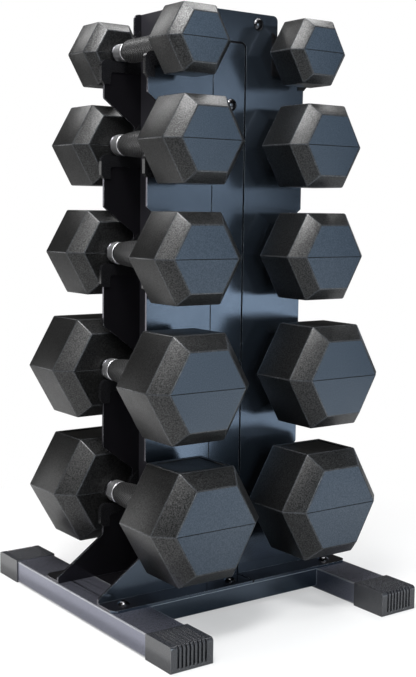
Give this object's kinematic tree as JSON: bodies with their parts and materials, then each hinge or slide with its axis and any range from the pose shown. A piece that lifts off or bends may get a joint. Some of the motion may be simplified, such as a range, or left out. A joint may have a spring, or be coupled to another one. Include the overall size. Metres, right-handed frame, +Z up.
{
  "type": "dumbbell rack",
  "caption": "Free-standing tower rack of folded sheet steel on two foot tubes, with hexagonal dumbbells hung in pairs on lined hooks.",
  "frame": {"origin": "on the floor, at the centre of the footprint", "axes": "+Z up, -Y the front that faces the user, +X to the right as seen from the front"},
  "size_m": [0.3466, 0.392, 0.69],
  "materials": {
    "slate_powder_coat": "satin fine-texture powder coat",
    "black_powder_coat": "satin black powder coat",
    "cap_plastic": "moulded black polypropylene",
    "saddle_plastic": "moulded black nylon liner",
    "black_fastener": "black oxide steel",
    "rubber_head": "cast iron under a moulded black rubber skin",
    "chrome_handle": "chrome collars and a black knurled grip"
  },
  "bodies": {
    "rack": {"left_front_plate": "slate_powder_coat", "right_front_plate": "slate_powder_coat", "left_rear_plate": "slate_powder_coat", "right_rear_plate": "slate_powder_coat", "left_web": "black_powder_coat", "right_web": "black_powder_coat", "top_brace": "black_powder_coat", "crossbeam": "black_powder_coat", "left_end_plate": "black_powder_coat", "right_end_plate": "black_powder_coat", "left_foot_tube": "slate_powder_coat", "right_foot_tube": "slate_powder_coat", "left_front_cap": "cap_plastic", "left_rear_cap": "cap_plastic", "right_front_cap": "cap_plastic", "right_rear_cap": "cap_plastic", "left_front_saddles": "saddle_plastic", "right_front_saddles": "saddle_plastic", "left_rear_saddles": "saddle_plastic", "right_rear_saddles": "saddle_plastic", "plate_bolts": "black_fastener", "plate_nuts": "black_fastener", "base_bolts": "black_fastener", "base_nuts": "black_fastener"},
    "left_1_dumbbell": {"left_1_front_head": "rubber_head", "left_1_rear_head": "rubber_head", "left_1_handle": "chrome_handle"},
    "left_2_dumbbell": {"left_2_front_head": "rubber_head", "left_2_rear_head": "rubber_head", "left_2_handle": "chrome_handle"},
    "left_3_dumbbell": {"left_3_front_head": "rubber_head", "left_3_rear_head": "rubber_head", "left_3_handle": "chrome_handle"},
    "left_4_dumbbell": {"left_4_front_head": "rubber_head", "left_4_rear_head": "rubber_head", "left_4_handle": "chrome_handle"},
    "left_5_dumbbell": {"left_5_front_head": "rubber_head", "left_5_rear_head": "rubber_head", "left_5_handle": "chrome_handle"},
    "right_1_dumbbell": {"right_1_front_head": "rubber_head", "right_1_rear_head": "rubber_head", "right_1_handle": "chrome_handle"},
    "right_2_dumbbell": {"right_2_front_head": "rubber_head", "right_2_rear_head": "rubber_head", "right_2_handle": "chrome_handle"},
    "right_3_dumbbell": {"right_3_front_head": "rubber_head", "right_3_rear_head": "rubber_head", "right_3_handle": "chrome_handle"},
    "right_4_dumbbell": {"right_4_front_head": "rubber_head", "right_4_rear_head": "rubber_head", "right_4_handle": "chrome_handle"},
    "right_5_dumbbell": {"right_5_front_head": "rubber_head", "right_5_rear_head": "rubber_head", "right_5_handle": "chrome_handle"}
  },
  "joints": [
    {"name": "left_1_lift_off", "type": "slide", "parent": "rack", "child": "left_1_dumbbell", "axis": [-0.9659, 0, 0.2588], "range_m": [0, 0.26]},
    {"name": "left_2_lift_off", "type": "slide", "parent": "rack", "child": "left_2_dumbbell", "axis": [-0.9659, 0, 0.2588], "range_m": [0, 0.26]},
    {"name": "left_3_lift_off", "type": "slide", "parent": "rack", "child": "left_3_dumbbell", "axis": [-0.9659, 0, 0.2588], "range_m": [0, 0.26]},
    {"name": "left_4_lift_off", "type": "slide", "parent": "rack", "child": "left_4_dumbbell", "axis": [-0.9659, 0, 0.2588], "range_m": [0, 0.26]},
    {"name": "left_5_lift_off", "type": "slide", "parent": "rack", "child": "left_5_dumbbell", "axis": [-0.9659, 0, 0.2588], "range_m": [0, 0.26]},
    {"name": "right_1_lift_off", "type": "slide", "parent": "rack", "child": "right_1_dumbbell", "axis": [0.9659, 0, 0.2588], "range_m": [0, 0.26]},
    {"name": "right_2_lift_off", "type": "slide", "parent": "rack", "child": "right_2_dumbbell", "axis": [0.9659, 0, 0.2588], "range_m": [0, 0.26]},
    {"name": "right_3_lift_off", "type": "slide", "parent": "rack", "child": "right_3_dumbbell", "axis": [0.9659, 0, 0.2588], "range_m": [0, 0.26]},
    {"name": "right_4_lift_off", "type": "slide", "parent": "rack", "child": "right_4_dumbbell", "axis": [0.9659, 0, 0.2588], "range_m": [0, 0.26]},
    {"name": "right_5_lift_off", "type": "slide", "parent": "rack", "child": "right_5_dumbbell", "axis": [0.9659, 0, 0.2588], "range_m": [0, 0.26]}
  ]
}
